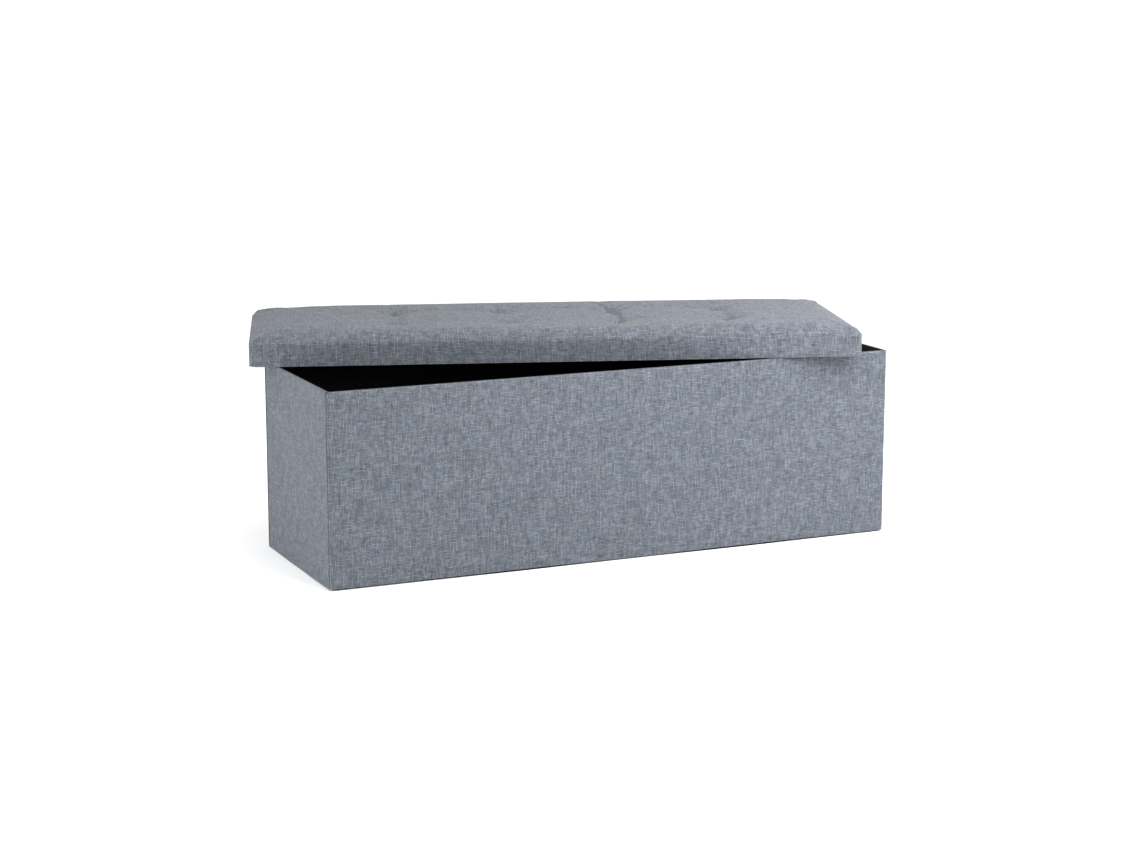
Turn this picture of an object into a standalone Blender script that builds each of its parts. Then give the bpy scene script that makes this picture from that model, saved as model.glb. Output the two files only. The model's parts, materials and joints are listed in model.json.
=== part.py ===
"""Folding storage bench: a linen-covered box whose walls fold flat, and a padded lift-off lid.

Metres, +Z up. The origin is on the floor, at the middle of the box. +X runs along the length of
the box and +Y from its front wall to its rear wall. The lid lies askew across the rim.
"""
import math

import bmesh
import bpy
from mathutils import Matrix, Vector

# Overall sizes
BOX_LENGTH = 1.120
BOX_DEPTH = 0.366
RIM_HEIGHT = 0.354
LID_LENGTH = 1.140
LID_DEPTH = 0.384
LID_HEIGHT = 0.060

# Where the lid lies: its centre in plan, the turn about +Z, and its clearance over the rim
LID_CENTRE = (-0.007, 0.126)
LID_TURN = math.radians(-17.7)
LID_CLEARANCE = 0.0006

# Layers
GAP = 0.0003
LINEN = 0.0012
LINING = 0.0010
WALL_BOARD = 0.0036
WALL = LINEN + GAP + WALL_BOARD + GAP + LINING
WALL_BOTTOM = 0.0062
HEM_LOW = 0.0011
BOTTOM_CLOTH = 0.0008
BASE_BOARD = 0.0035
BASE_LINING = 0.0006

# Lid layers
FOAM = 0.0185
LID_BOARD = 0.0050
LID_LINING = 0.0008
SKIRT_BOARD = 0.0030
SKIRT_LIFT = 0.0015

# Corners
BOX_CORNER = 0.0045
LID_CORNER = 0.0090
CORNER_STEPS = 4

# Folds: how far a hinge line stands off the faces that close on each other
HINGE_OFFSET = 0.0004
CREASE_OFFSET = 0.0006
END_GAP = 0.0005

# Tufting: two rows of stitches along the lid
TUFT_PLACES = [(x, y) for y in (-0.068, 0.068) for x in (-0.298, -0.087, 0.123, 0.334)]
THREAD_RADIUS = 0.0012
HOLE_RADIUS = 0.0022
BUTTON_RADIUS = 0.0060
BUTTON_HEIGHT = 0.0014
POCKET_RADIUS = 0.0070
POCKET_DEPTH = 0.0022
ROUND_SIDES = 16

HALF_LENGTH = BOX_LENGTH / 2
HALF_DEPTH = BOX_DEPTH / 2
INNER_X = HALF_LENGTH - WALL
INNER_Y = HALF_DEPTH - WALL

# Name: (sRGB colour, roughness)
FINISHES = {
    "linen": ((0.54, 0.57, 0.62), 0.95),
    "black_cloth": ((0.04, 0.04, 0.045), 0.90),
    "board": ((0.55, 0.45, 0.33), 0.80),
    "foam": ((0.86, 0.83, 0.72), 1.0),
    "thread": ((0.50, 0.52, 0.56), 0.85),
}


def clear_scene():
    for obj in list(bpy.data.objects):
        bpy.data.objects.remove(obj, do_unlink=True)


def new_collection(name):
    collection = bpy.data.collections.new(name)
    bpy.context.scene.collection.children.link(collection)
    return collection


def linear(channel):
    return channel / 12.92 if channel <= 0.04045 else ((channel + 0.055) / 1.055) ** 2.4


def finish_material(node_name, finish):
    """A material of the node's own, in one of the object's finishes."""
    colour, roughness = FINISHES[finish]
    material = bpy.data.materials.new(node_name + "_" + finish)
    material.use_nodes = True
    shader = material.node_tree.nodes["Principled BSDF"]
    shader.inputs["Base Color"].default_value = [linear(c) for c in colour] + [1.0]
    shader.inputs["Roughness"].default_value = roughness
    shader.inputs["Metallic"].default_value = 0.0
    return material


def add_pivot(name, location, parent=None, turn=0.0):
    """An empty on a joint's axis. Its location is in world coordinates."""
    pivot = bpy.data.objects.new(name, None)
    pivot.empty_display_size = 0.03
    origin = Vector(parent["world"]) if parent else Vector((0, 0, 0))
    pivot.location = Vector(location) - origin
    pivot.rotation_euler = (0, 0, turn)
    pivot.parent = parent
    pivot["world"] = tuple(location)
    PARTS.objects.link(pivot)
    return pivot


def add_node(name, bm, centre, pivot, finish):
    """Make a node from a bmesh that is centred on its own origin."""
    mesh = bpy.data.meshes.new(name)
    bm.to_mesh(mesh)
    bm.free()
    obj = bpy.data.objects.new(name, mesh)
    obj.location = centre
    obj.parent = pivot
    mesh.materials.append(finish_material(name, finish))
    PARTS.objects.link(obj)
    return obj


def is_upright(edge):
    return edge.verts[0].co.xy == edge.verts[1].co.xy


def is_upper(edge):
    return min(vert.co.z for vert in edge.verts) > 0


def on_side(direction):
    """A test for the upright edges on one side of a box that is centred on its origin."""
    return lambda edge: is_upright(edge) and edge.verts[0].co.dot(Vector(direction)) > 0


def box_mesh(low, high, rounded, radius):
    """A centred box, with the edges that pass the test rounded, and the place of its centre."""
    bm = bmesh.new()
    size = high - low
    bmesh.ops.create_cube(bm, size=1.0, matrix=Matrix.Diagonal((*size, 1.0)))
    if rounded:
        bmesh.ops.bevel(bm, geom=[edge for edge in bm.edges if rounded(edge)], offset=radius,
                        segments=CORNER_STEPS, profile=0.5, affect="EDGES")
    bm.normal_update()
    return bm, (low + high) / 2


def add_block(name, low, high, pivot, finish, rounded=None, radius=0.0):
    """A solid box between two corners, in the pivot's frame."""
    bm, centre = box_mesh(Vector(low), Vector(high), rounded, radius)
    return add_node(name, bm, centre, pivot, finish)


def add_tray(name, low, high, open_side, thickness, pivot, finish, rounded=None, radius=0.0):
    """A five-sided skin between two corners, open on one side and thickened inwards."""
    bm, centre = box_mesh(Vector(low), Vector(high), rounded, radius)
    opened = [face for face in bm.faces if face.normal.dot(Vector(open_side)) > 0.99]
    bmesh.ops.delete(bm, geom=opened, context="FACES")
    obj = add_node(name, bm, centre, pivot, finish)
    skin = obj.modifiers.new("Thickness", "SOLIDIFY")
    skin.thickness = thickness
    skin.offset = -1.0
    skin.use_even_offset = True
    return obj


def layer_corners(low, high, inward, start, stop, margin):
    """Corners of one layer of a wall. start and stop are depths below its outer face."""
    low, high = Vector(low), Vector(high)
    inward = Vector(inward)
    axis = max(range(3), key=lambda i: abs(inward[i]))
    outer = low[axis] if inward[axis] > 0 else high[axis]
    layer_low = low + Vector((margin, margin, margin))
    layer_high = high - Vector((margin, margin, margin))
    near, far = outer + inward[axis] * start, outer + inward[axis] * stop
    layer_low[axis], layer_high[axis] = min(near, far), max(near, far)
    return layer_low, layer_high


def add_wall(prefix, low, high, inward, pivot, rounded_corners):
    """Board in a linen cover that wraps all its edges, lined with black cloth inside."""
    origin = Vector(pivot["world"])
    low, high = Vector(low) - origin, Vector(high) - origin
    margin = LINEN + GAP
    rounded = on_side(-Vector(inward)) if rounded_corners else None
    add_tray(prefix + "_cover", low, high, inward, LINEN, pivot, "linen",
             rounded=rounded, radius=BOX_CORNER)
    board_low, board_high = layer_corners(low, high, inward, margin, margin + WALL_BOARD, margin)
    add_block(prefix + "_board", board_low, board_high, pivot, "board",
              rounded=rounded, radius=BOX_CORNER - margin)
    lining_low, lining_high = layer_corners(low, high, inward, WALL - LINING, WALL, margin)
    add_block(prefix + "_lining", lining_low, lining_high, pivot, "black_cloth")
    hem_low, hem_high = layer_corners(low, high, inward, 0.0, LINEN, 0.0)
    inset = BOX_CORNER if rounded_corners else 0.0
    hem_low += Vector((inset, 0, 0))
    hem_high -= Vector((inset, 0, 0))
    hem_low.z, hem_high.z = HEM_LOW - origin.z, WALL_BOTTOM - GAP - origin.z
    add_block(prefix + "_hem", hem_low, hem_high, pivot, "linen")


def add_box_walls(frame):
    """Front wall on the frame, then the end halves and the rear wall, each on its fold line."""
    level = (WALL_BOTTOM, RIM_HEIGHT)
    add_wall("front_wall", (-HALF_LENGTH, -HALF_DEPTH, level[0]), (HALF_LENGTH, -INNER_Y, level[1]),
             (0, 1, 0), frame, True)
    rears = {}
    for side, sign in (("left", -1), ("right", 1)):
        corner = (sign * (INNER_X - HINGE_OFFSET), -INNER_Y + HINGE_OFFSET, 0.0)
        crease = (sign * (HALF_LENGTH + CREASE_OFFSET), 0.0, 0.0)
        front_pivot = add_pivot(side + "_front_fold", corner, frame)
        rear_pivot = add_pivot(side + "_crease", crease, front_pivot)
        rears[side] = rear_pivot
        x_low, x_high = sorted((sign * HALF_LENGTH, sign * INNER_X))
        halves = (("front", -INNER_Y + END_GAP, -END_GAP / 2, front_pivot),
                  ("rear", END_GAP / 2, INNER_Y - END_GAP, rear_pivot))
        for end, y_low, y_high, pivot in halves:
            add_wall(side + "_" + end + "_panel", (x_low, y_low, level[0]),
                     (x_high, y_high, level[1]), (-sign, 0, 0), pivot, False)
    rear_corner = (-INNER_X + HINGE_OFFSET, INNER_Y - HINGE_OFFSET, 0.0)
    rear_pivot = add_pivot("rear_wall_fold", rear_corner, rears["left"])
    add_wall("rear_wall", (-HALF_LENGTH, INNER_Y, level[0]), (HALF_LENGTH, HALF_DEPTH, level[1]),
             (0, -1, 0), rear_pivot, True)


def add_base(frame):
    """Black cloth under two stiff base boards that meet at the middle, and their lining."""
    add_block("bottom_cloth", (-HALF_LENGTH, -HALF_DEPTH, 0), (HALF_LENGTH, HALF_DEPTH, BOTTOM_CLOTH),
              frame, "black_cloth", rounded=is_upright, radius=BOX_CORNER)
    board_low = BOTTOM_CLOTH + GAP
    board_high = board_low + BASE_BOARD
    reach_x, reach_y = INNER_X - 2 * GAP, INNER_Y - 2 * GAP
    for side, sign in (("left", -1), ("right", 1)):
        x_low, x_high = sorted((sign * reach_x, sign * 2 * GAP))
        add_block("base_board_" + side, (x_low, -reach_y, board_low), (x_high, reach_y, board_high),
                  frame, "board")
    lining_low = board_high + GAP
    add_block("base_lining", (-reach_x, -reach_y, lining_low),
              (reach_x, reach_y, lining_low + BASE_LINING), frame, "black_cloth")


def add_cutter(name, radius, low, high, pivot):
    """Round cutters, one at each tuft, as one hidden object."""
    bm = bmesh.new()
    for x, y in TUFT_PLACES:
        bmesh.ops.create_cone(bm, cap_ends=True, segments=ROUND_SIDES, radius1=radius,
                              radius2=radius, depth=high - low,
                              matrix=Matrix.Translation((x, y, 0)))
    cutter = add_node(name, bm, (0, 0, (low + high) / 2), pivot, "thread")
    PARTS.objects.unlink(cutter)
    CUTTERS.objects.link(cutter)
    cutter.hide_render = True
    cutter.display_type = "WIRE"
    return cutter


def add_tuft(name, place, low, high, pivot):
    """A button under the board with the thread that rises from it, turned as one piece."""
    outline = ((0, high), (THREAD_RADIUS, high), (THREAD_RADIUS, low + BUTTON_HEIGHT),
               (BUTTON_RADIUS, low + BUTTON_HEIGHT), (BUTTON_RADIUS, low), (0, low))
    bm = bmesh.new()
    verts = [bm.verts.new((radius, 0, height)) for radius, height in outline]
    for start, end in zip(verts, verts[1:]):
        bm.edges.new((start, end))
    tuft = add_node(name, bm, (*place, 0), pivot, "thread")
    turned = tuft.modifiers.new("Turned", "SCREW")
    turned.steps = ROUND_SIDES
    turned.render_steps = ROUND_SIDES
    turned.use_merge_vertices = True
    turned.merge_threshold = 0.00001


def cut(obj, cutter):
    difference = obj.modifiers.new("Cut", "BOOLEAN")
    difference.operation = "DIFFERENCE"
    difference.solver = "EXACT"
    difference.object = cutter


def add_lid(lid):
    """Board, foam and skirt boards in a linen cover, lined underneath, in the lid's own frame."""
    half = Vector((LID_LENGTH / 2, LID_DEPTH / 2, 0))
    margin = LINEN + GAP
    foam_top = LID_HEIGHT - margin
    board_top = foam_top - FOAM - GAP
    board_low = board_top - LID_BOARD

    def slab(inset, low, high):
        return ((-half.x + inset, -half.y + inset, low), (half.x - inset, half.y - inset, high))

    def soft(edge):
        return is_upright(edge) or is_upper(edge)

    add_tray("lid_cover", *slab(0.0, 0.0, LID_HEIGHT), (0, 0, -1), LINEN, lid, "linen",
             rounded=soft, radius=LID_CORNER)
    foam = add_block("lid_foam", *slab(margin, board_top + GAP, foam_top), lid, "foam",
                     rounded=soft, radius=LID_CORNER - margin)
    board = add_block("lid_board", *slab(margin, board_low, board_top), lid, "board",
                      rounded=is_upright, radius=LID_CORNER - margin)
    add_skirt_boards(lid, half, margin, board_low - GAP)
    add_tray("lid_lining", *slab(margin + SKIRT_BOARD + GAP, GAP, board_low - GAP), (0, 0, -1),
             LID_LINING, lid, "black_cloth")
    for number, place in enumerate(TUFT_PLACES, start=1):
        add_tuft("tuft_%d" % number, place, board_low, foam_top - GAP, lid)
    overrun = 0.002
    holes = add_cutter("stitch_holes", HOLE_RADIUS, board_low - overrun, foam_top + overrun, lid)
    pockets = add_cutter("button_pockets", POCKET_RADIUS, board_low - overrun,
                         board_low + POCKET_DEPTH, lid)
    cut(foam, holes)
    cut(board, holes)
    cut(board, pockets)


def add_skirt_boards(lid, half, margin, top):
    """Four stiff strips inside the skirt, which stop short of its rounded corners."""
    for side, sign in (("front", -1), ("rear", 1)):
        y_low, y_high = sorted((sign * (half.y - margin), sign * (half.y - margin - SKIRT_BOARD)))
        reach = half.x - LID_CORNER
        add_block("lid_skirt_" + side, (-reach, y_low, SKIRT_LIFT), (reach, y_high, top), lid, "board")
    for side, sign in (("left", -1), ("right", 1)):
        x_low, x_high = sorted((sign * (half.x - margin), sign * (half.x - margin - SKIRT_BOARD)))
        reach = half.y - LID_CORNER
        add_block("lid_skirt_" + side, (x_low, -reach, SKIRT_LIFT), (x_high, reach, top), lid, "board")


clear_scene()
PARTS = new_collection("storage_bench")
CUTTERS = new_collection("cutters")
FRAME = add_pivot("box_frame", (0, 0, 0))
LID = add_pivot("lid_lift", (*LID_CENTRE, RIM_HEIGHT + LID_CLEARANCE), None, LID_TURN)
add_base(FRAME)
add_box_walls(FRAME)
add_lid(LID)
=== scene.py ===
import json
import math

import bmesh
import bpy
from bpy.props import FloatProperty, PointerProperty, StringProperty
from bpy.types import Operator, Panel, PropertyGroup
from mathutils import Matrix, Vector, noise

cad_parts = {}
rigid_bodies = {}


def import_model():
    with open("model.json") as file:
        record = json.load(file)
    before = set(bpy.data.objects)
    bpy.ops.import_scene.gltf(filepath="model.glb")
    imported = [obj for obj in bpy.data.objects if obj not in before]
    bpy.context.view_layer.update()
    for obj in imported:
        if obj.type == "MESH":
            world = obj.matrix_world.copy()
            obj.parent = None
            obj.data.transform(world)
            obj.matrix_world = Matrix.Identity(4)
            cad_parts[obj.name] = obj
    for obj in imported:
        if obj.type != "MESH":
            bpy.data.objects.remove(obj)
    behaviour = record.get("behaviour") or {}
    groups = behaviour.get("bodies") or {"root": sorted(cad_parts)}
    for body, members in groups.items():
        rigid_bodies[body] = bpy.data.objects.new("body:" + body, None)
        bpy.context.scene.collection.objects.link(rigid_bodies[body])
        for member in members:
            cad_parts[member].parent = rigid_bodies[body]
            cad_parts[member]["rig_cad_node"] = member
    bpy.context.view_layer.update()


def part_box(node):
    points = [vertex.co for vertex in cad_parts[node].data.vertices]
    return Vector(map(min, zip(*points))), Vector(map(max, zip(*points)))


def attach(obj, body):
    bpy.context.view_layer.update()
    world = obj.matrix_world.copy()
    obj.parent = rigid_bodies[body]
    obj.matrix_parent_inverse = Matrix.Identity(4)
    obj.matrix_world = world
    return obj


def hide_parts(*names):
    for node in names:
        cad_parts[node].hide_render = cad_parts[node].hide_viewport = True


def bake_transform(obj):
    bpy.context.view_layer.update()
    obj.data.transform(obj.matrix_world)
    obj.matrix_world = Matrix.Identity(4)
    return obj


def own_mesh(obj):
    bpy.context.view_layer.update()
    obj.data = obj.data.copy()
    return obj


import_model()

bl_info = {
    "name": "Folding Storage Bench",
    "version": (1, 0, 0),
    "blender": (4, 5, 0),
    "location": "View3D > Sidebar > Bench",
    "description": "Dresses a folding storage bench in linen, lining, padding and a tufted lid",
    "category": "Add Mesh",
}

# Sizes that come from the frame
FRONT_LOW, FRONT_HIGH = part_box("front_wall_cover")
LENGTH = FRONT_HIGH.x - FRONT_LOW.x
HALF_LENGTH = LENGTH / 2
HALF_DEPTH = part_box("rear_wall_cover")[1].y
WALL = FRONT_HIGH.y - FRONT_LOW.y
RIM = FRONT_HIGH.z
WALL_FOOT = FRONT_LOW.z
INNER_Y = HALF_DEPTH - WALL
END_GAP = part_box("left_front_panel_cover")[0].y + INNER_Y
LID_LOW, LID_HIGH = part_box("lid_cover")
LID_RISE = LID_HIGH.z - LID_LOW.z

# Each wall as a turn about +Z and the place of its outer lower-left corner, seen from outside
PANELS = {
    "front": (0.0, Vector((-HALF_LENGTH, -HALF_DEPTH, 0)), LENGTH),
    "right": (math.pi / 2, Vector((HALF_LENGTH, -INNER_Y + END_GAP, 0)), 2 * (INNER_Y - END_GAP)),
    "rear": (math.pi, Vector((HALF_LENGTH, HALF_DEPTH, 0)), LENGTH),
    "left": (-math.pi / 2, Vector((-HALF_LENGTH, INNER_Y - END_GAP, 0)), 2 * (INNER_Y - END_GAP)),
}
PANEL_ORDER = list(PANELS)
TUFT_COLUMNS = (-0.298, -0.087, 0.123, 0.334)
TUFT_ROWS = (-0.068, 0.068)
# Where the front wall's foot sags, from the middle, and how widely
SAGS = (-0.20, 0.25)
SAG_WIDTH = 0.13
# How high the hem stands over the sags, where the rolled edge of the under cloth fills the gap
SAG_HEIGHT = 0.0034
ROLL_WIDTH = 0.0025
# Width of the under cloth that lies outside the base boards
MARGIN = 0.0065
# How far the top is pulled down between each pair of stitches before it swells, from 0 to 1
PULLS = (0.16, 0.10, 0.34, 0.14)
# How sharply the top folds along each pair of stitches afterwards, from 0 to 1
FOLDS = (0.35, 0.15, 1.0, 0.25)
# Where the lid's top begins, above its hem, for the stitches' pull, the smoothing and the folds
PULL_FLOOR, SOFT_FLOOR, FOLD_FLOOR = 0.040, 0.038, 0.044
# Room left above the lid's block for the padding to crown into
CROWN_ROOM = 0.0025
LINING_THICKNESS = 0.0008
LID_CLOTH_THICKNESS = 0.0011
LID_LINING_THICKNESS = 0.0007
SHARP = math.radians(50)
# Distance that counts as being on a plane
EDGE = 1e-5
SOFTBOX_SIZE = 0.8
# Soft lights by the name of the setting that holds their power
SOFTBOXES = (("top", Vector((0.0, -1.0, 1.5))), ("front", Vector((0.8, -1.0, 1.0))),
             ("right", Vector((1.4, 0.0, 1.0))), ("left", Vector((-2.0, 0.0, 0.5))))
LIGHT_AIM = Vector((0, 0, 0.25))
CAMERA_AIM = Vector((-0.0154, 0.0101, 0.2151))


# ---------------------------------------------------------------- properties


class ClothSettings(PropertyGroup):
    light: StringProperty(name="Light thread", description="sRGB hex of the palest slubs",
                          default="#777C84")
    middle: StringProperty(name="Middle thread", description="sRGB hex of the plain threads",
                           default="#5C6168")
    dark: StringProperty(name="Dark thread", description="sRGB hex of the darkest threads",
                         default="#41454D")
    thread_mm: FloatProperty(name="Thread spacing", description="Centre to centre, in millimetres",
                             default=2.8, min=0.5, max=8.0)
    slub_mm: FloatProperty(name="Slub length", description="Length of a thick stretch, in millimetres",
                           default=19.0, min=5.0, max=120.0)
    lining: StringProperty(name="Lining", description="sRGB hex of the non-woven lining",
                           default="#0C0C0E")


class BoxSettings(PropertyGroup):
    cloth: FloatProperty(name="Cloth thickness", description="Thickness of the sewn linen",
                         default=0.0009, min=0.0003, max=0.0012, unit="LENGTH")
    corner: FloatProperty(name="Corner radius", description="Rounding of the long walls' corners",
                          default=0.0042, min=0.001, max=0.005, unit="LENGTH")
    seam: FloatProperty(name="Seam radius", description="Rounding of the end panels beside a seam",
                        default=0.0020, min=0.001, max=0.002, unit="LENGTH")
    seam_edge: FloatProperty(name="Seam edge", description="Depth of the linen on a long wall's end",
                             default=0.0036, min=0.002, max=0.006, unit="LENGTH")
    board_corner: FloatProperty(name="Board corner", description="Rounding of the boards' corners",
                                default=0.005, min=0.001, max=0.01, unit="LENGTH")
    rim: FloatProperty(name="Linen on the rim", description="How far the linen turns over the rim",
                       default=0.0028, min=0.001, max=0.006, unit="LENGTH")
    grid: FloatProperty(name="Mesh step", description="Length of a face on the flat of a wall",
                        default=0.008, min=0.003, max=0.03, unit="LENGTH")
    unevenness: FloatProperty(name="Unevenness", description="How far the cloth wanders off flat",
                              default=0.0005, min=0.0, max=0.002, unit="LENGTH")
    hem_lift: FloatProperty(name="Hem lift", description="How high the hem stands at the corners",
                            default=0.0030, min=0.0, max=0.008, unit="LENGTH")


class LidSettings(PropertyGroup):
    turn: FloatProperty(name="Turn", description="How far the lid is turned on the rim",
                        default=math.radians(-17.7), subtype="ANGLE")
    length: FloatProperty(name="Length", description="Lid length", default=1.140, unit="LENGTH")
    depth: FloatProperty(name="Depth", description="Lid depth", default=0.384, unit="LENGTH")
    shoulder: FloatProperty(name="Shoulder", description="Rounding of the padded top edge",
                            default=0.0145, min=0.005, max=0.03, unit="LENGTH")
    corner: FloatProperty(name="Corner", description="Rounding of the upright corners",
                          default=0.009, min=0.004, max=0.03, unit="LENGTH")
    voxel: FloatProperty(name="Voxel", description="Face size of the simulated pad",
                         default=0.006, min=0.003, max=0.02, unit="LENGTH")
    pressure: FloatProperty(name="Pressure", description="How hard the padding swells",
                            default=4.0, min=0.0, max=10.0)
    swell_cap: FloatProperty(name="Swell cap", description="Furthest that the padding may swell",
                             default=0.006, min=0.0, max=0.02, unit="LENGTH")
    tuft_depth: FloatProperty(name="Tuft depth", description="How far a stitch pulls the top down",
                              default=0.0065, min=0.0, max=0.015, unit="LENGTH")
    fold_depth: FloatProperty(name="Fold depth", description="Depth of the sharpest fold in the top",
                              default=0.0045, min=0.0, max=0.01, unit="LENGTH")


class StageSettings(PropertyGroup):
    floor: StringProperty(name="Floor", description="sRGB hex of the floor", default="#FAFAFA")
    glow: FloatProperty(name="Floor glow", description="Strength of the floor's own light",
                        default=0.12, min=0.0, max=2.0)
    sky: FloatProperty(name="Soft light", description="Strength of the even light all round",
                       default=1.05, min=0.0, max=5.0)
    top: FloatProperty(name="Top light", description="Power of the soft light above, in watts",
                       default=14.5, min=0.0, max=1000.0)
    front: FloatProperty(name="Front light", description="Power of the soft light in front, in watts",
                         default=14.6, min=0.0, max=1000.0)
    right: FloatProperty(name="Right light", description="Power of the soft light at the right, in watts",
                         default=11.0, min=0.0, max=1000.0)
    left: FloatProperty(name="Left light", description="Power of the soft light at the left, in watts",
                        default=12.8, min=0.0, max=1000.0)
    lens: FloatProperty(name="Lens", description="Focal length in millimetres on a 36 mm wide frame",
                        default=75.67, min=10.0, max=300.0)
    azimuth: FloatProperty(name="Azimuth", description="Direction that the camera looks along",
                           default=math.radians(-24.09), subtype="ANGLE")
    elevation: FloatProperty(name="Elevation", description="How far the camera looks down",
                             default=math.radians(11.02), subtype="ANGLE")
    distance: FloatProperty(name="Distance", description="From the camera to what it aims at",
                            default=4.535, unit="LENGTH")


# ---------------------------------------------------------------- materials


def linear(hex_colour):
    """An sRGB hex colour as linear RGBA."""
    channels = [int(hex_colour[i:i + 2], 16) / 255 for i in (1, 3, 5)]
    return [c / 12.92 if c <= 0.04045 else ((c + 0.055) / 1.055) ** 2.4 for c in channels] + [1.0]


def add(tree, kind, inputs=None, **settings):
    """Add a node. inputs gives a value or another node's output for a socket's name or number."""
    made = tree.nodes.new("ShaderNode" + kind)
    for name, value in settings.items():
        setattr(made, name, value)
    for key, value in (inputs or {}).items():
        if isinstance(value, bpy.types.NodeSocket):
            tree.links.new(value, made.inputs[key])
        else:
            made.inputs[key].default_value = value
    return made


def new_material(name, roughness, sockets=None):
    """A material with its tree and shader. sockets gives values for the shader's own sockets."""
    material = bpy.data.materials.new(name)
    material.use_nodes = True
    tree = material.node_tree
    shader = tree.nodes["Principled BSDF"]
    shader.inputs["Roughness"].default_value = roughness
    for socket, value in (sockets or {}).items():
        shader.inputs[socket].default_value = value
    return material, tree, shader


def set_ramp(ramp, stops):
    """Give a Color Ramp its stops, as pairs of position and linear colour."""
    elements = ramp.color_ramp.elements
    while len(elements) < len(stops):
        elements.new(0.5)
    for element, (position, colour) in zip(elements, stops):
        element.position = position
        element.color = colour


def linen_material():
    """Slubby linen-look polyester, plain woven: pale and dark threads cross at random.
    Its threads are drawn four times as coarse as real ones, which would melt into plain grey."""
    settings = bpy.context.scene.bench_cloth
    material, tree, shader = new_material("woven_linen_look", 0.92,
                                          {"Sheen Weight": 0.06, "Sheen Roughness": 0.5})
    spacing = settings.thread_mm / 1000
    slub = settings.slub_mm / 1000
    place = add(tree, "UVMap", uv_map="cloth").outputs["UV"]
    # Threads are never quite straight: a slow wander of a fifth of a thread
    wander = add(tree, "TexNoise", {"Vector": place, "Scale": 60.0, "Detail": 1.0})
    drift = add(tree, "VectorMath", {0: wander.outputs["Color"], 1: (0.5, 0.5, 0.5)},
                operation="SUBTRACT")
    small = add(tree, "VectorMath", {0: drift.outputs[0], "Scale": spacing * 1.2}, operation="SCALE")
    wavy = add(tree, "VectorMath", {0: place, 1: small.outputs[0]}, operation="ADD")
    axes = add(tree, "SeparateXYZ", {0: wavy.outputs[0]})
    rows, tones = [], []
    for across, along, seed in ((1, 0, 3.1), (0, 1, 8.7)):
        count = add(tree, "Math", {0: axes.outputs[across], 1: spacing}, operation="DIVIDE")
        row = add(tree, "Math", {0: count.outputs[0]}, operation="FLOOR")
        run = add(tree, "Math", {0: axes.outputs[along], 1: slub}, operation="DIVIDE")
        apart = add(tree, "Math", {0: row.outputs[0], 1: seed}, operation="MULTIPLY")
        spot = add(tree, "CombineXYZ", {0: run.outputs[0], 1: apart.outputs[0], 2: seed})
        tone = add(tree, "TexNoise", {"Vector": spot.outputs[0], "Scale": 1.0, "Detail": 3.0,
                                      "Roughness": 0.7})
        rows.append((count, row))
        tones.append(tone)
    # Which thread lies on top alternates from one crossing to the next
    total = add(tree, "Math", {0: rows[0][1].outputs[0], 1: rows[1][1].outputs[0]}, operation="ADD")
    over = add(tree, "Math", {0: total.outputs[0], 1: 2.0}, operation="FLOORED_MODULO")
    woven = add(tree, "Mix", {0: over.outputs[0], 2: tones[0].outputs[0], 3: tones[1].outputs[0]},
                data_type="FLOAT")
    # Seen from afar, each thread's own tone reads as one long fine line, over and under alike
    lines = add(tree, "Mix", {0: 0.5, 2: tones[0].outputs[0], 3: tones[1].outputs[0]},
                data_type="FLOAT")
    tone = add(tree, "Mix", {0: 0.62, 2: woven.outputs[0], 3: lines.outputs[0]},
               data_type="FLOAT")
    colours = add(tree, "ValToRGB", {0: tone.outputs[0]})
    set_ramp(colours, ((0.34, linear(settings.dark)), (0.50, linear(settings.middle)),
                       (0.66, linear(settings.light))))
    # Dye takes unevenly, so patches lean to lavender or to a cooler blue
    patches = add(tree, "TexNoise", {"Vector": place, "Scale": 26.0, "Detail": 3.0, "Roughness": 0.6})
    leaning = add(tree, "ValToRGB", {0: patches.outputs[0]})
    set_ramp(leaning, ((0.36, linear("#F7F5FA")), (0.50, linear("#F8F8FA")),
                       (0.66, linear("#F1F7FA"))))
    tinted = add(tree, "Mix", {0: 1.0, 6: colours.outputs[0], 7: leaning.outputs[0]},
                 data_type="RGBA", blend_type="MULTIPLY")
    # Each thread stands up in its middle and dives under the next at its sides
    crowns = []
    for count, row in rows:
        inside = add(tree, "Math", {0: count.outputs[0]}, operation="FRACT")
        phase = add(tree, "Math", {0: inside.outputs[0], 1: math.pi}, operation="MULTIPLY")
        crowns.append(add(tree, "Math", {0: phase.outputs[0]}, operation="SINE"))
    ridge = add(tree, "Mix", {0: over.outputs[0], 2: crowns[0].outputs[0], 3: crowns[1].outputs[0]},
                data_type="FLOAT")
    valley = add(tree, "Math", {0: crowns[0].outputs[0], 1: crowns[1].outputs[0]},
                 operation="MULTIPLY")
    height = add(tree, "Math", {0: ridge.outputs[0], 1: valley.outputs[0]}, operation="ADD")
    # Painted shade and painted highlight: the colour is darkened where a thread dives under the next and
    # lightened on its crown
    shade = add(tree, "MapRange", {0: height.outputs[0], 1: 0.0, 2: 2.0, 3: 0.50, 4: 1.27})
    linen_with_painted_light = add(tree, "VectorMath", {0: tinted.outputs[2], "Scale": shade.outputs[0]},
                 operation="SCALE")
    tree.links.new(linen_with_painted_light.outputs[0], shader.inputs["Base Color"])
    bump = add(tree, "Bump", {"Strength": 0.35, "Distance": 0.0006, "Height": height.outputs[0]})
    tree.links.new(bump.outputs[0], shader.inputs["Normal"])
    return material


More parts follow.
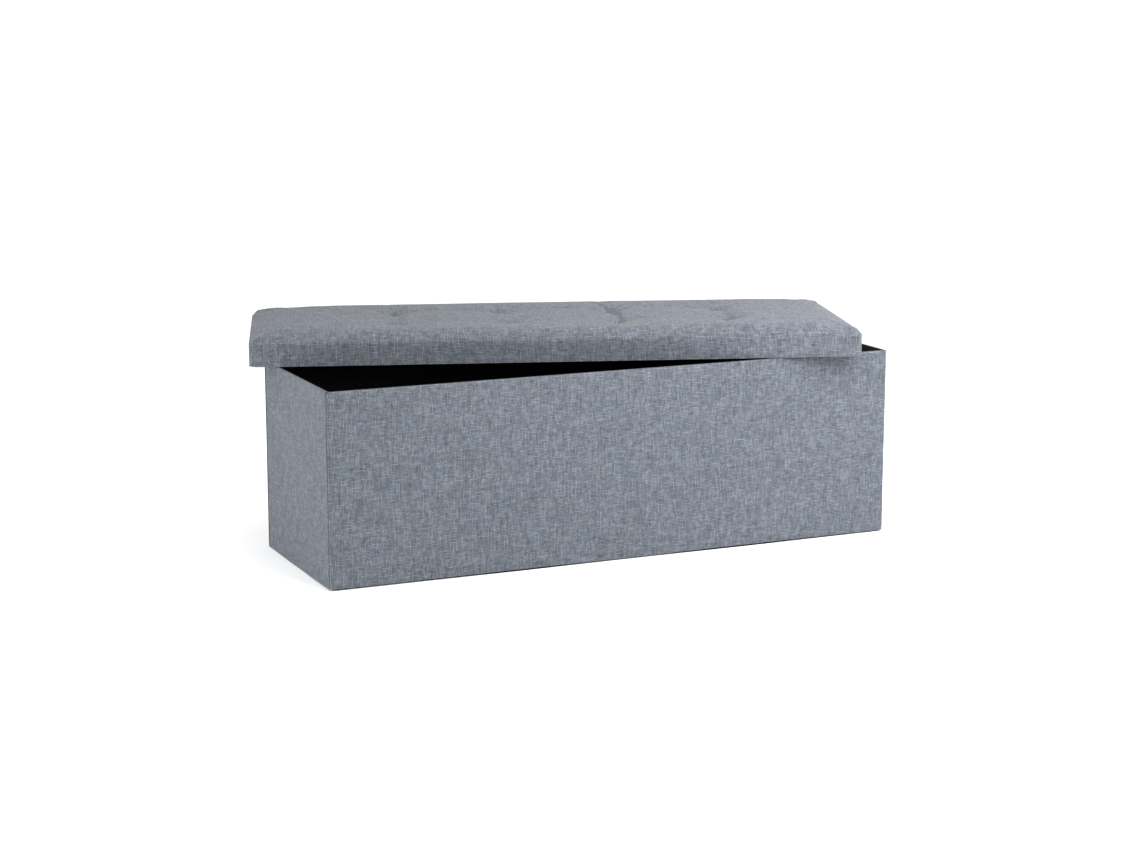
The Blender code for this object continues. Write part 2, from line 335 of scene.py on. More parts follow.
def lining_material():
    """Black spun-bonded cloth: matted fibres pressed in a grid of small dots."""
    settings = bpy.context.scene.bench_cloth
    material, tree, shader = new_material("black_nonwoven_cloth", 0.85,
                                          {"Sheen Weight": 0.05, "Specular IOR Level": 0.2})
    place = add(tree, "TexCoord").outputs["Object"]
    # Weld dots 2.5 mm apart
    dots = add(tree, "TexVoronoi", {"Vector": place, "Scale": 400.0, "Randomness": 0.15})
    fibres = add(tree, "TexNoise", {"Vector": place, "Scale": 900.0, "Detail": 3.0})
    fuzz = add(tree, "ValToRGB", {0: fibres.outputs[0]})
    base = linear(settings.lining)
    set_ramp(fuzz, ((0.3, [c * 0.6 for c in base[:3]] + [1]), (0.7, [c * 1.9 for c in base[:3]] + [1])))
    tree.links.new(fuzz.outputs[0], shader.inputs["Base Color"])
    height = add(tree, "Math", {0: dots.outputs[0], 1: fibres.outputs[0]}, operation="ADD")
    bump = add(tree, "Bump", {"Strength": 0.3, "Distance": 0.0004, "Height": height.outputs[0]})
    tree.links.new(bump.outputs[0], shader.inputs["Normal"])
    return material


def speckled_material(name, pale, dark, scale, roughness, depth):
    """A raw, matt stuff with grains of two colours and a bump of its own grain."""
    material, tree, shader = new_material(name, roughness)
    place = add(tree, "TexCoord").outputs["Object"]
    grain = add(tree, "TexNoise", {"Vector": place, "Scale": scale, "Detail": 6.0, "Roughness": 0.7})
    colours = add(tree, "ValToRGB", {0: grain.outputs[0]})
    set_ramp(colours, ((0.35, linear(dark)), (0.65, linear(pale))))
    tree.links.new(colours.outputs[0], shader.inputs["Base Color"])
    bump = add(tree, "Bump", {"Strength": 0.4, "Distance": depth, "Height": grain.outputs[0]})
    tree.links.new(bump.outputs[0], shader.inputs["Normal"])
    return material


def make_materials():
    """Every finish of the bench, made once and kept by name."""
    if "woven_linen_look" in bpy.data.materials:
        return
    linen_material()
    lining_material()
    # Fibreboard is brown and faintly mottled, with a dusty grain of about half a millimetre
    speckled_material("raw_fibreboard", "#A58A66", "#86694A", 900.0, 0.85, 0.0002)
    # Foam shows open cells of about a millimetre
    speckled_material("open_cell_foam", "#E6DEC4", "#C9BE9C", 700.0, 1.0, 0.0006)
    # Upholstery twine: waxed, slightly darker than the linen, with a fine twist
    speckled_material("waxed_twine", "#8C929E", "#6C727E", 1500.0, 0.7, 0.0002)


def finish(name):
    """The finish of a name that make_materials made."""
    return bpy.data.materials[name]


# ---------------------------------------------------------------- mesh helpers


def new_object(name, bm, material_name):
    """Put a mesh into the scene as an object at the origin, with one finish."""
    mesh = bpy.data.meshes.new(name)
    bm.to_mesh(mesh)
    bm.free()
    obj = bpy.data.objects.new(name, mesh)
    bpy.context.scene.collection.objects.link(obj)
    mesh.materials.append(finish(material_name))
    return obj


def apply_modifiers(obj):
    """Keep what the modifiers make and drop the modifiers."""
    graph = bpy.context.evaluated_depsgraph_get()
    made = bpy.data.meshes.new_from_object(obj.evaluated_get(graph))
    obj.modifiers.clear()
    obj.data = made
    made.shade_smooth()
    made.set_sharp_from_angle(angle=SHARP)


def thicken(obj, thickness):
    """Give a skin its thickness, inwards from where it lies."""
    skin = obj.modifiers.new("Thickness", "SOLIDIFY")
    skin.thickness = thickness
    skin.offset = -1.0
    skin.use_even_offset = False
    apply_modifiers(obj)


def close_seams(bm):
    """Join the ends of a spun mesh and drop what they squeeze to nothing."""
    bmesh.ops.remove_doubles(bm, verts=bm.verts[:], dist=0.00002)
    bmesh.ops.dissolve_degenerate(bm, edges=bm.edges[:], dist=0.000005)


def sized_box(low, high, cuts=(0, 0, 0)):
    """A box between two corners, with its edges along X, Y and Z cut evenly."""
    bm = bmesh.new()
    low, high = Vector(low), Vector(high)
    place = Matrix.Translation((low + high) / 2) @ Matrix.Diagonal((*(high - low), 1.0))
    bmesh.ops.create_cube(bm, size=1.0, matrix=place)
    for axis in range(3):
        if cuts[axis]:
            along = [e for e in bm.edges
                     if abs((e.verts[1].co - e.verts[0].co).normalized()[axis]) > 0.99]
            bmesh.ops.subdivide_edges(bm, edges=along, cuts=cuts[axis], use_grid_fill=True)
    return bm


def bevel(bm, edges, radius, segments=4):
    """Round edges over to a radius."""
    bmesh.ops.bevel(bm, geom=edges, offset=radius, segments=segments, profile=0.5,
                    affect="EDGES", material=-1)


def drop_faces(bm, test):
    """Take away the faces for which a test holds."""
    bm.normal_update()
    gone = [face for face in bm.faces if test(face)]
    bmesh.ops.delete(bm, geom=gone, context="FACES")


def cut_at(bm, axis, value):
    """Add a loop of edges where the mesh crosses a plane."""
    normal = Vector([float(i == axis) for i in range(3)])
    bmesh.ops.bisect_plane(bm, geom=bm.verts[:] + bm.edges[:] + bm.faces[:], dist=EDGE,
                           plane_co=normal * value, plane_no=normal)


def wander(place, size, amount, seed):
    """A smooth, repeatable offset at a place, with bumps about as wide as size."""
    return amount * noise.noise(Vector(place) / size + Vector((seed, seed * 1.7, 0)))


# ---------------------------------------------------------------- walls


def wall_matrix(side):
    """From a wall's own coordinates to the frame's."""
    turn, corner, _ = PANELS[side]
    return Matrix.Translation(corner) @ Matrix.Rotation(turn, 4, "Z")


def panel_uv(bm, side, length):
    """Unroll a wall's cloth in metres: over the rim and round its ends it runs on."""
    layer = bm.loops.layers.uv.new("cloth")
    shift = 1.7 * PANEL_ORDER.index(side)
    bm.normal_update()
    for face in bm.faces:
        middle = face.calc_center_median()
        turned_end = abs(face.normal.x) > 0.75
        turned_top = abs(face.normal.z) > 0.75
        for loop in face.loops:
            u, depth, z = loop.vert.co
            if turned_end:
                u = -depth if middle.x < length / 2 else length + depth
            if turned_top:
                z += depth
            loop[layer].uv = (u + shift, z)


def unsettle(bm, side, amount):
    """Let the cloth wander a little in and out of flat."""
    seed = 5.3 * (1 + PANEL_ORDER.index(side))
    for vert in bm.verts:
        u, depth, z = vert.co
        fade = min(1.0, max(0.0, (RIM - z) / 0.03))
        vert.co.y -= wander((u, 0, z), 0.09, amount, seed) * fade * (depth < WALL * 0.6)


def sag(u):
    """How far, from 0 to 1, the foot of the front wall sags here: once under each base board."""
    x = u - HALF_LENGTH
    return max(math.exp(-0.5 * ((x - middle) / SAG_WIDTH) ** 2) for middle in SAGS)


def hem_height(u, lift):
    """The hem's height off the floor: high at the corners, lower in the middle and the sags."""
    low = sag(u)
    middle = math.exp(-0.5 * ((u - HALF_LENGTH) / 0.16) ** 2)
    ripple = 0.0003 * math.sin(37 * u + 0.8) * (1 - low)
    return SAG_HEIGHT * low + lift * (1 - low) * (1 - 0.4 * middle) + ripple


def linen_wall(side, low, high, radius):
    """The linen on one wall: outer face, both ends, and a strip of the rim."""
    settings = bpy.context.scene.bench_box
    length = PANELS[side][2]
    cuts = (round(length / settings.grid), 0, round((high - low) / settings.grid))
    bm = sized_box((0, 0, low), (length, WALL, high), cuts)

    def outer(vert):
        return vert.co.y < EDGE

    def at_end(vert):
        return vert.co.x < EDGE or vert.co.x > length - EDGE

    def on_top(vert):
        return vert.co.z > high - EDGE

    rounded = []
    for e in bm.edges:
        a, b = e.verts
        upright = outer(a) and outer(b) and at_end(a) and at_end(b)
        upper = on_top(a) and on_top(b) and ((outer(a) and outer(b)) or (at_end(a) and at_end(b)))
        if upright or upper:
            rounded.append(e)
    bevel(bm, rounded, radius)
    if length > LENGTH - EDGE:
        # The linen stops short of the corner seams, so the black lining shows there as a fine dark line:
        # a dark sheet set as painted shade for the shadow deep in the seam
        cut_at(bm, 1, settings.seam_edge)
        drop_faces(bm, lambda f: abs(f.normal.x) > 0.6
                   and f.calc_center_median().y > settings.seam_edge)
    cut_at(bm, 1, settings.rim)
    drop_faces(bm, lambda f: f.normal.y > 0.9 or f.normal.z < -0.9
               or (f.normal.z > 0.9 and f.calc_center_median().y > settings.rim
                   and radius < f.calc_center_median().x < length - radius))
    return bm


def finish_wall(name, bm, side, body, replaced, material="woven_linen_look",
                thickness=None):
    """Map, place and thicken one skin of a wall, hang it on its body and hide the frame's parts that it
    replaces.
    """
    settings = bpy.context.scene.bench_box
    panel_uv(bm, side, PANELS[side][2])
    bm.transform(wall_matrix(side))
    obj = new_object(name, bm, material)
    thicken(obj, thickness or settings.cloth)
    if body:
        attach(obj, body)
    if replaced:
        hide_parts(*replaced)
    return obj


def lining_wall(side, radius=0.0014):
    """The lining of one wall: its inner face, and the rim up to the linen."""
    settings = bpy.context.scene.bench_box
    length = PANELS[side][2]
    start = settings.rim + 0.0001
    long_wall = side in ("front", "rear")
    ends = 0.0005 if long_wall else 0.0002
    cuts = (round(length / 0.02), 0, round(RIM / 0.02))
    bm = sized_box((ends, start, WALL_FOOT + 0.0002), (length - ends, WALL, RIM - 0.0001), cuts)
    inner_top = [e for e in bm.edges
                 if all(v.co.y > WALL - EDGE and v.co.z > RIM - 0.0002 for v in e.verts)]
    bevel(bm, inner_top, radius, 3)
    # A long wall's lining keeps its ends, which show in the corner seams as that fine line of painted
    # shade
    drop_faces(bm, lambda f: f.normal.y < -0.9 or f.normal.z < -0.9
               or (abs(f.normal.x) > 0.9 and not long_wall))
    return bm


def wave_hem(bm, lift):
    """Follow the sagging hem at the foot of the front wall, fading out up the wall."""
    reach = 0.05
    for vert in bm.verts:
        if vert.co.z < reach:
            share = 1 - vert.co.z / reach
            vert.co.z += hem_height(vert.co.x, lift) * share ** 2
            vert.co.y -= 0.0006 * share * sag(vert.co.x)


def end_panel(side, front_body, rear_body):
    """One end of the box: linen and lining with close loops at the crease, and a hem hangs on each half.
    """
    settings = bpy.context.scene.bench_box
    length = PANELS[side][2]
    nodes = ["%s_%s_panel" % (side, half) for half in ("front", "rear")]
    cover = linen_wall(side, WALL_FOOT, RIM, settings.seam)
    unsettle(cover, side, settings.unevenness)
    for offset in (-0.0012, -0.0006, 0.0, 0.0006, 0.0012):
        cut_at(cover, 0, length / 2 + offset)
    obj = finish_wall(side + "_end_linen", cover, side, None, [n + "_cover" for n in nodes])
    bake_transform(obj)
    lining = lining_wall(side)
    for step in range(-5, 6):
        cut_at(lining, 0, length / 2 + step * 0.0004)
    obj = finish_wall(side + "_end_lining", lining, side, None, [n + "_lining" for n in nodes],
                      material="black_nonwoven_cloth", thickness=LINING_THICKNESS)
    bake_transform(obj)
    for half, body in (("front", front_body), ("rear", rear_body)):
        hem_piece(side, half, body, "%s_%s_panel_hem" % (side, half))


def hem_piece(side, half, body, node):
    """The loose foot of a moving wall, hung on the body that carries it."""
    settings = bpy.context.scene.bench_box
    length = PANELS[side][2]
    top, low = WALL_FOOT, 0.0009
    bm = linen_wall(side, low, top + 0.02, settings.seam if half else settings.corner)
    cut_at(bm, 2, top)
    drop_faces(bm, lambda f: f.calc_center_median().z > top)
    if half:
        cut_at(bm, 0, length / 2)
        keep_high = (half == "front") == (side == "right")
        drop_faces(bm, lambda f: (f.calc_center_median().x > length / 2) == keep_high)
    unsettle(bm, side, settings.unevenness)
    for vert in bm.verts:
        # An end's hem climbs to meet the front wall's at the corner
        u, _, z = vert.co
        ahead = {"left": length - u, "right": u}.get(side, 1.0)
        climb = (settings.hem_lift - low) * math.exp(-ahead / 0.06)
        vert.co.z += climb * (top - z) / (top - low)
    obj = finish_wall(node + "_linen", bm, side, body, [node])
    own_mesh(obj)


class BENCH_OT_front_wall(Operator):
    """Linen, lining and the sagging hem of the front wall"""
    bl_idname = "bench.front_wall"
    bl_label = "Front wall"

    def execute(self, context):
        settings = context.scene.bench_box
        bm = linen_wall("front", 0.0, RIM, settings.corner)
        unsettle(bm, "front", settings.unevenness)
        wave_hem(bm, settings.hem_lift)
        finish_wall("front_wall_linen", bm, "front", "box_frame",
                    ["front_wall_cover", "front_wall_hem"])
        finish_wall("front_wall_inside", lining_wall("front"), "front", "box_frame",
                    ["front_wall_lining"], material="black_nonwoven_cloth",
                    thickness=LINING_THICKNESS)
        return {"FINISHED"}


class BENCH_OT_rear_wall(Operator):
    """Linen, lining and hem of the rear wall"""
    bl_idname = "bench.rear_wall"
    bl_label = "Rear wall"

    def execute(self, context):
        settings = context.scene.bench_box
        bm = linen_wall("rear", WALL_FOOT, RIM, settings.corner)
        unsettle(bm, "rear", settings.unevenness)
        finish_wall("rear_wall_linen", bm, "rear", "rear", ["rear_wall_cover"])
        finish_wall("rear_wall_inside", lining_wall("rear"), "rear", "rear", ["rear_wall_lining"],
                    material="black_nonwoven_cloth", thickness=LINING_THICKNESS)
        hem_piece("rear", None, "rear", "rear_wall_hem")
        return {"FINISHED"}


class BENCH_OT_ends(Operator):
    """Both folding ends of the box"""
    bl_idname = "bench.ends"
    bl_label = "Folding ends"

    def execute(self, context):
        end_panel("left", "left_front", "left_rear")
        end_panel("right", "right_front", "right_rear")
        return {"FINISHED"}


# ---------------------------------------------------------------- base


def cloth_sheet(low, high, step):
    """A thin sheet between two corners, with closer loops along its margins."""
    length, depth = high[0] - low[0], high[1] - low[1]
    bm = sized_box(low, high, (round(length / step), round(depth / step), 0))
    for axis in (0, 1):
        for inset in (0.0025, 0.005, MARGIN):
            cut_at(bm, axis, low[axis] + inset)
            cut_at(bm, axis, high[axis] - inset)
    return bm


def from_edge(place, low, high):
    """How far a place is from the nearest side of a sheet."""
    return min(place.x - low[0], high[0] - place.x, place.y - low[1], high[1] - place.y)


def lay(name, bm):
    """Make a sheet of black cloth that stays with the base."""
    obj = new_object(name, bm, "black_nonwoven_cloth")
    obj.data.shade_smooth()
    obj.data.set_sharp_from_angle(angle=SHARP)
    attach(obj, "box_frame")
    return obj


class BENCH_OT_base(Operator):
    """The lining laid over the base boards and the cloth under the box"""
    bl_idname = "bench.base"
    bl_label = "Base cloths"

    def execute(self, context):
        low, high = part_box("base_lining")
        bm = cloth_sheet(low, high, 0.02)
        for vert in bm.verts:
            if vert.co.z > (low.z + high.z) / 2:
                fade = min(1.0, from_edge(vert.co, low, high) / 0.03)
                vert.co.z += fade * max(0.0, wander(vert.co, 0.12, 0.0005, 2.0))
        lining = lay("base_lining_cloth", bm)
        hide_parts("base_lining")
        low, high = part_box("bottom_cloth")
        tuck = 0.0016
        low, high = low + Vector((tuck, 0.0008, 0)), high - Vector((tuck, tuck, 0))
        lift = context.scene.bench_box.hem_lift
        bm = cloth_sheet(low, high, 0.02)
        for vert in bm.verts:
            # The margin is sewn to the hem and rises with it
            x, y, z = vert.co
            u = x + HALF_LENGTH
            front = hem_height(u, lift) * (1 - sag(u)) * math.exp(-(y - low.y) / 0.004)
            corner = (lift - 0.0010) * math.exp(-(y - low.y) / 0.06)
            if z > (low.z + high.z) / 2:
                roll = max(0.0, 1 - (y - low.y) / ROLL_WIDTH)
                vert.co.z += (SAG_HEIGHT - high.z) * roll * sag(u)
            share = max(0.0, 1 - from_edge(vert.co, low, high) / MARGIN)
            at_side = min(x - low.x, high.x - x, high.y - y) < MARGIN
            vert.co.z += share * max(front, (0.0010 + corner) * at_side)
        under = lay("under_cloth", bm)
        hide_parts("bottom_cloth")
        return {"FINISHED"}


# ---------------------------------------------------------------- lid


def lid_matrix():
    """From the lid's own coordinates, with its hem at zero, to the frame's."""
    centre = (LID_LOW + LID_HIGH) / 2
    turn = bpy.context.scene.bench_lid.turn
    return Matrix.Translation((centre.x, centre.y, LID_LOW.z)) @ Matrix.Rotation(turn, 4, "Z")


def tuft_pull(x, y):
    """How far, from 0 to 1, the stitches and the folds between them pull the top down here."""
    pull = 0.0
    for column, fold in zip(TUFT_COLUMNS, PULLS):
        for row in TUFT_ROWS:
            apart = math.hypot((x - column) / 0.011, (y - row) / 0.013)
            pull = max(pull, math.exp(-0.5 * apart ** 2))
        bend = 0.006 * math.sin(17 * y + 40 * column)
        across = (x - column - bend) / 0.0075
        reach = 1.0 / (1.0 + (abs(y) / 0.125) ** 6)
        pull = max(pull, fold * reach * math.exp(-0.5 * across ** 2))
    return pull


def lid_block(settings):
    """The lid's outside as a closed, rounded block in the lid's own coordinates."""
    half = Vector((settings.length / 2, settings.depth / 2, 0))
    top = LID_RISE - CROWN_ROOM
    bm = sized_box((-half.x, -half.y, 0.0), (half.x, half.y, top), (24, 8, 1))
    upright = [e for e in bm.edges if all(abs(v.co.x) > half.x - EDGE and
                                          abs(v.co.y) > half.y - EDGE for v in e.verts)]
    bevel(bm, upright, settings.corner, 5)
    shoulder = [e for e in bm.edges if all(v.co.z > top - EDGE for v in e.verts)
                and any(abs(f.normal.z) < 0.5 for f in e.link_faces)]
    bevel(bm, shoulder, settings.shoulder, 6)
    return bm


def swell(obj, settings):
    """Blow the pad up as cloth pinned at its sides and stitches, and keep its swollen shape in the mesh,
    capped in how far it moves.
    """
    pins = obj.vertex_groups.new(name="pinned")
    for vert in obj.data.vertices:
        x, y, z = vert.co
        hold = 1.0 if z < LID_RISE - 0.016 else 0.0
        hold = max(hold, min(1.0, 1.4 * tuft_pull(x, y)) if z > PULL_FLOOR else 0.0)
        pins.add([vert.index], hold, "REPLACE")
    modifier = obj.modifiers.new("Swelling", "CLOTH")
    cloth = modifier.settings
    cloth.quality = 5
    cloth.mass = 0.3
    cloth.tension_stiffness = 12
    cloth.compression_stiffness = 8
    cloth.bending_stiffness = 0.4
    cloth.use_pressure = True
    cloth.uniform_pressure_force = settings.pressure
    cloth.vertex_group_mass = "pinned"
    cloth.effector_weights.gravity = 0.0
    modifier.collision_settings.use_collision = False
    modifier.point_cache.frame_start, modifier.point_cache.frame_end = 1, 20
    scene = bpy.context.scene
    for step in range(1, 21):
        scene.frame_set(step)
    graph = bpy.context.evaluated_depsgraph_get()
    swollen = [v.co.copy() for v in obj.evaluated_get(graph).data.vertices]
    obj.modifiers.clear()
    scene.frame_set(1)
    for vert, moved in zip(obj.data.vertices, swollen):
        step = moved - vert.co
        if step.length > 1e-7:
            limit = settings.swell_cap
            vert.co += step * (limit * math.tanh(step.length / limit) / step.length)


def square_up(bm, settings):
    """Bring the skirts back onto the lid's true rounded outline."""
    radius = settings.corner
    for vert in bm.verts:
        x, y, z = vert.co
        if z > LID_RISE - settings.shoulder - 0.003:
            continue
        core = Vector((max(-settings.length / 2 + radius, min(settings.length / 2 - radius, x)),
                       max(-settings.depth / 2 + radius, min(settings.depth / 2 - radius, y)), z))
        out = vert.co - core
        if out.length > 0.7 * radius:
            vert.co = core + out.normalized() * radius


def crease(bm, settings):
    """Press sharp folds into the top along each pair of stitches, on a finer mesh there."""
    def near(x, width):
        return any(abs(x - column) < width for column in TUFT_COLUMNS)
    close = [e for e in bm.edges if all(v.co.z > FOLD_FLOOR and near(v.co.x, 0.03) for v in e.verts)]
    bmesh.ops.subdivide_edges(bm, edges=close, cuts=1, use_grid_fill=True, smooth=0.0)
    for vert in bm.verts:
        x, y, z = vert.co
        if z < FOLD_FLOOR:
            continue
        for column, fold in zip(TUFT_COLUMNS, FOLDS):
            bend = 0.011 * math.cos(23 * y) + 0.0015 * math.sin(83 * y)
            reach = 1.0 / (1.0 + (abs(y) / 0.14) ** 8)
            line = math.exp(-0.5 * ((x - column - bend) / 0.0045) ** 2)
            vert.co.z -= settings.fold_depth * fold * reach * line
            for row in TUFT_ROWS:
                apart = math.hypot((x - column) / 0.012, (y - row) / 0.010)
                vert.co.z -= settings.fold_depth * math.sqrt(fold) * math.exp(-0.5 * apart ** 2)


def lid_uv(bm, settings):
    """Unroll the lid's cloth in metres: skirts hang from the top by their drop."""
    layer = bm.loops.layers.uv.new("cloth")
    # Where the top's map hands over to a skirt's, on a shoulder turned by 45 degrees
    saved = 2 * (1 - math.sqrt(0.5)) * settings.shoulder
    bm.normal_update()
    for face in bm.faces:
        n = face.normal
        for loop in face.loops:
            x, y, z = loop.vert.co
            drop = LID_RISE - z - saved
            if abs(n.z) < 0.7 and abs(n.y) > abs(n.x):
                y = math.copysign(settings.depth / 2 + drop, n.y)
            elif abs(n.z) < 0.7:
                x = math.copysign(settings.length / 2 + drop, n.x)
            loop[layer].uv = (x + 9.3, y + 3.1)


def padded_lid(settings):
    """The swollen outside of the lid as one closed mesh, in the lid's own coordinates."""
    block = new_object("lid_swelling", lid_block(settings), "woven_linen_look")
    remesh = block.modifiers.new("Voxels", "REMESH")
    remesh.mode = "VOXEL"
    remesh.voxel_size = settings.voxel
    apply_modifiers(block)
    for vert in block.data.vertices:
        x, y, z = vert.co
        if z > PULL_FLOOR:
            vert.co.z -= settings.tuft_depth * tuft_pull(x, y)
    swell(block, settings)
    bm = bmesh.new()
    bm.from_mesh(block.data)
    soft = [v for v in bm.verts if v.co.z > SOFT_FLOOR]
    for _ in range(2):
        bmesh.ops.smooth_vert(bm, verts=soft, factor=0.5, use_axis_x=True, use_axis_y=True,
                              use_axis_z=True)
    bpy.data.objects.remove(block)
    square_up(bm, settings)
    crease(bm, settings)
    return bm


class BENCH_OT_lid(Operator):
    """The padded lid's tufted linen and its foam, swollen as cloth"""
    bl_idname = "bench.lid"
    bl_label = "Padded lid"

    def execute(self, context):
        settings = context.scene.bench_lid
        bm = padded_lid(settings)
        foam = bm.copy()
        # The cloth is turned under at the hem and left open inside it
        inside = 0.0047
        drop_faces(bm, lambda f: f.normal.z < -0.5 and f.calc_center_median().z < 0.004
                   and abs(f.calc_center_median().x) < settings.length / 2 - inside
                   and abs(f.calc_center_median().y) < settings.depth / 2 - inside)
        for vert in bm.verts:
            x, y, z = vert.co
            vert.co.y += wander((x, 0, z), 0.11, 0.0005, 31.0) * (abs(y) > 0.15) * (z < 0.05)
        lid_uv(bm, settings)
        bm.transform(lid_matrix())
        cover = new_object("lid_linen", bm, "woven_linen_look")
        thicken(cover, LID_CLOTH_THICKNESS)
        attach(cover, "lid")
        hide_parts("lid_cover")
        foam.normal_update()
        shrink = [(vert, vert.normal * 0.0016) for vert in foam.verts]
        for vert, step in shrink:
            vert.co -= step
        floor = bmesh.ops.bisect_plane(foam, geom=foam.verts[:] + foam.edges[:] + foam.faces[:],
                                       dist=EDGE, plane_co=(0, 0, 0.0401), plane_no=(0, 0, 1),
                                       clear_inner=True)
        rim = [e for e in floor["geom_cut"] if isinstance(e, bmesh.types.BMEdge)]
        bmesh.ops.contextual_create(foam, geom=rim)
        foam.transform(lid_matrix())
        pad = new_object("lid_pad", foam, "open_cell_foam")
        pad.data.shade_smooth()
        pad.data.set_sharp_from_angle(angle=SHARP)
        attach(pad, "lid")
        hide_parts("lid_foam")
        return {"FINISHED"}


class BENCH_OT_lid_inside(Operator):
    """The black lining that hides the boards under the lid"""
    bl_idname = "bench.lid_inside"
    bl_label = "Lid lining"

    def execute(self, context):
        settings = context.scene.bench_lid
        inset = 0.0048
        half = Vector((settings.length / 2 - inset, settings.depth / 2 - inset, 0))
        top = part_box("lid_lining")[1].z - LID_LOW.z
        bm = sized_box((-half.x, -half.y, 0.0004), (half.x, half.y, top), (44, 14, 2))
        edges = [e for e in bm.edges
                 if all(v.co.z > top - EDGE for v in e.verts)
                 and any(abs(f.normal.z) < 0.5 for f in e.link_faces)
                 or all(abs(v.co.x) > half.x - EDGE and abs(v.co.y) > half.y - EDGE
                        for v in e.verts)]
        bevel(bm, edges, 0.003, 3)
        drop_faces(bm, lambda f: f.normal.z < -0.5)
        for vert in bm.verts:
            if vert.co.z > top - 1e-4:
                vert.co.z -= max(0.0, wander(vert.co, 0.10, 0.0015, 12.0))
        bm.transform(lid_matrix())
        obj = new_object("lid_inside", bm, "black_nonwoven_cloth")
        thicken(obj, LID_LINING_THICKNESS)
        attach(obj, "lid")
        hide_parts("lid_lining")
        return {"FINISHED"}


class BENCH_OT_tufts(Operator):
    """The twine ties that hold the lid's top down to its board"""
    bl_idname = "bench.tufts"
    bl_label = "Tufts"

    def execute(self, context):
        settings = context.scene.bench_lid
        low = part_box("tuft_1")[0].z - LID_LOW.z
        top = LID_RISE - CROWN_ROOM - settings.tuft_depth
        # Half outline of a tie: a knot under the board, the twine, and the stitch on the cloth
        outline = ((0.0, low), (0.0040, low), (0.0044, low + 0.0005), (0.0040, low + 0.0010),
                   (0.0009, low + 0.0014), (0.0009, top - 0.0030), (0.0022, top - 0.0024),
                   (0.0026, top - 0.0017), (0.0018, top - 0.0012), (0.0, top - 0.0011))
        number = 0
        for row in TUFT_ROWS:
            for column in TUFT_COLUMNS:
                number += 1
                bm = bmesh.new()
                verts = [bm.verts.new((r, 0, z)) for r, z in outline]
                edges = [bm.edges.new(pair) for pair in zip(verts, verts[1:])]
                bmesh.ops.spin(bm, geom=verts + edges, axis=(0, 0, 1), cent=(0, 0, 0),
                               angle=2 * math.pi, steps=16)
                close_seams(bm)
                bmesh.ops.recalc_face_normals(bm, faces=bm.faces[:])
                bm.transform(lid_matrix() @ Matrix.Translation((column, row, 0)))
                obj = new_object("tie_%d" % number, bm, "waxed_twine")
                obj.data.shade_smooth()
                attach(obj, "lid")
                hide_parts("tuft_%d" % number)
        return {"FINISHED"}


# ---------------------------------------------------------------- boards and stage

WALL_BOARDS = {"front_wall_board": "box_frame", "rear_wall_board": "rear",
               "left_front_panel_board": "left_front", "left_rear_panel_board": "left_rear",
               "right_front_panel_board": "right_front", "right_rear_panel_board": "right_rear"}


class BENCH_OT_boards(Operator):
    """The walls' stiff boards with their corners eased, and raw fibreboard for all the others"""
    bl_idname = "bench.boards"
    bl_label = "Boards"

    def execute(self, context):
        for node, body in WALL_BOARDS.items():
            low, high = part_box(node)
            bm = sized_box(low, high)
            thin = 0 if high.x - low.x < high.y - low.y else 1
            eased = [e for e in bm.edges
                     if abs((e.verts[1].co - e.verts[0].co).normalized()[thin]) > 0.99]
            bevel(bm, eased, context.scene.bench_box.board_corner)
            bevel(bm, bm.edges[:], 0.0003, 1)
            obj = new_object(node + "_eased", bm, "raw_fibreboard")
            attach(obj, body)
            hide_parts(node)
        for obj in context.scene.objects:
            if obj.type == "MESH" and "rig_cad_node" in obj and not obj.hide_render:
                obj.data.materials.clear()
                obj.data.materials.append(finish("raw_fibreboard"))
        return {"FINISHED"}


def softbox(name, place, power):
    """A square soft light aimed at the bench."""
    lamp = bpy.data.lights.new(name, "AREA")
    lamp.size = SOFTBOX_SIZE
    lamp.energy = power
    obj = bpy.data.objects.new(name, lamp)
    obj.location = place
    obj.rotation_euler = (place - LIGHT_AIM).to_track_quat("Z", "Y").to_euler()
    bpy.context.scene.collection.objects.link(obj)


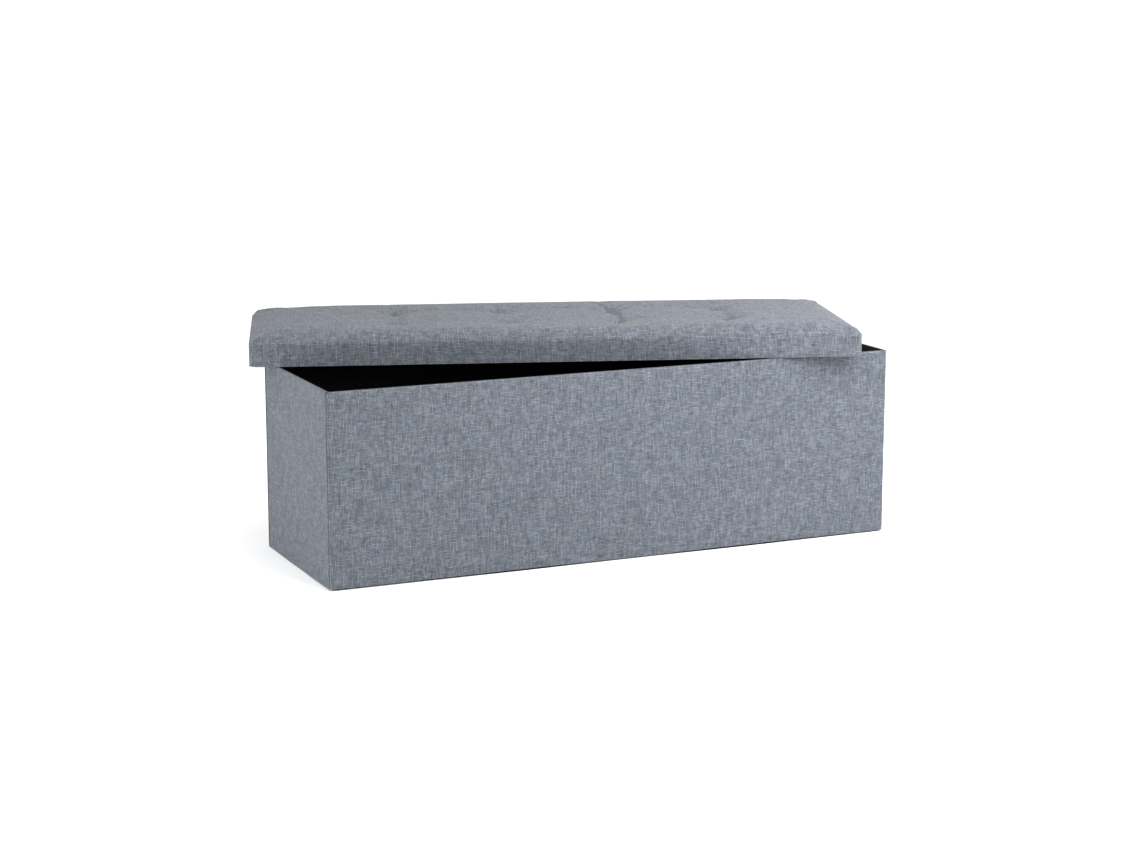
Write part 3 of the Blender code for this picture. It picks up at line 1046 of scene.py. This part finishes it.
class BENCH_OT_stage(Operator):
    """A pale floor, soft light and the camera"""
    bl_idname = "bench.stage"
    bl_label = "Stage"

    def execute(self, context):
        settings = context.scene.bench_stage
        scene = context.scene
        bm = bmesh.new()
        bmesh.ops.create_grid(bm, x_segments=1, y_segments=1, size=14.0)
        material, _, shader = new_material("matt_white_paper", 1.0)
        shader.inputs["Base Color"].default_value = linear(settings.floor)
        shader.inputs["Specular IOR Level"].default_value = 0.0
        # A sweep lit from within keeps its white right up to the bench's foot
        shader.inputs["Emission Color"].default_value = linear(settings.floor)
        shader.inputs["Emission Strength"].default_value = settings.glow
        floor = new_object("floor", bm, "matt_white_paper")
        world = bpy.data.worlds.new("soft_white_room")
        scene.world = world
        world.use_nodes = True
        sky = world.node_tree.nodes["Background"]
        sky.inputs["Color"].default_value = (1, 1, 1, 1)
        sky.inputs["Strength"].default_value = settings.sky
        for side, place in SOFTBOXES:
            softbox(side + "_softbox", place, getattr(settings, side))
        lens = bpy.data.cameras.new("camera")
        lens.sensor_fit = "HORIZONTAL"
        lens.sensor_width = 36.0
        lens.lens = settings.lens
        lens.clip_end = 100.0
        camera = bpy.data.objects.new("camera", lens)
        scene.collection.objects.link(camera)
        rise = settings.elevation
        away = Vector((math.sin(settings.azimuth) * math.cos(rise),
                       -math.cos(settings.azimuth) * math.cos(rise), math.sin(rise)))
        camera.location = CAMERA_AIM + away * settings.distance
        camera.rotation_euler = away.to_track_quat("Z", "Y").to_euler()
        scene.camera = camera
        scene.view_settings.view_transform = "Standard"
        return {"FINISHED"}


class BENCH_PT_panel(Panel):
    bl_label = "Folding Storage Bench"
    bl_idname = "BENCH_PT_panel"
    bl_space_type = "VIEW_3D"
    bl_region_type = "UI"
    bl_category = "Bench"

    def draw(self, context):
        for name in SETTINGS:
            box = self.layout.box()
            group = getattr(context.scene, name)
            for prop in group.__annotations__:
                box.prop(group, prop)
        for operator in OPERATORS:
            self.layout.operator(operator.bl_idname)


SETTINGS = {
    "bench_cloth": ClothSettings,
    "bench_box": BoxSettings,
    "bench_lid": LidSettings,
    "bench_stage": StageSettings,
}
OPERATORS = (BENCH_OT_front_wall, BENCH_OT_rear_wall, BENCH_OT_ends, BENCH_OT_base,
             BENCH_OT_lid, BENCH_OT_lid_inside, BENCH_OT_tufts, BENCH_OT_boards, BENCH_OT_stage)


def register():
    for cls in (*SETTINGS.values(), *OPERATORS, BENCH_PT_panel):
        bpy.utils.register_class(cls)
    for name, cls in SETTINGS.items():
        setattr(bpy.types.Scene, name, PointerProperty(type=cls))


def unregister():
    for name in SETTINGS:
        delattr(bpy.types.Scene, name)
    for cls in reversed((*SETTINGS.values(), *OPERATORS, BENCH_PT_panel)):
        bpy.utils.unregister_class(cls)


def main():
    register()
    make_materials()
    bpy.ops.bench.front_wall()
    bpy.ops.bench.rear_wall()
    bpy.ops.bench.ends()
    bpy.ops.bench.base()
    bpy.ops.bench.lid()
    bpy.ops.bench.lid_inside()
    bpy.ops.bench.tufts()
    bpy.ops.bench.boards()
    bpy.ops.bench.stage()


if __name__ == "__main__":
    main()
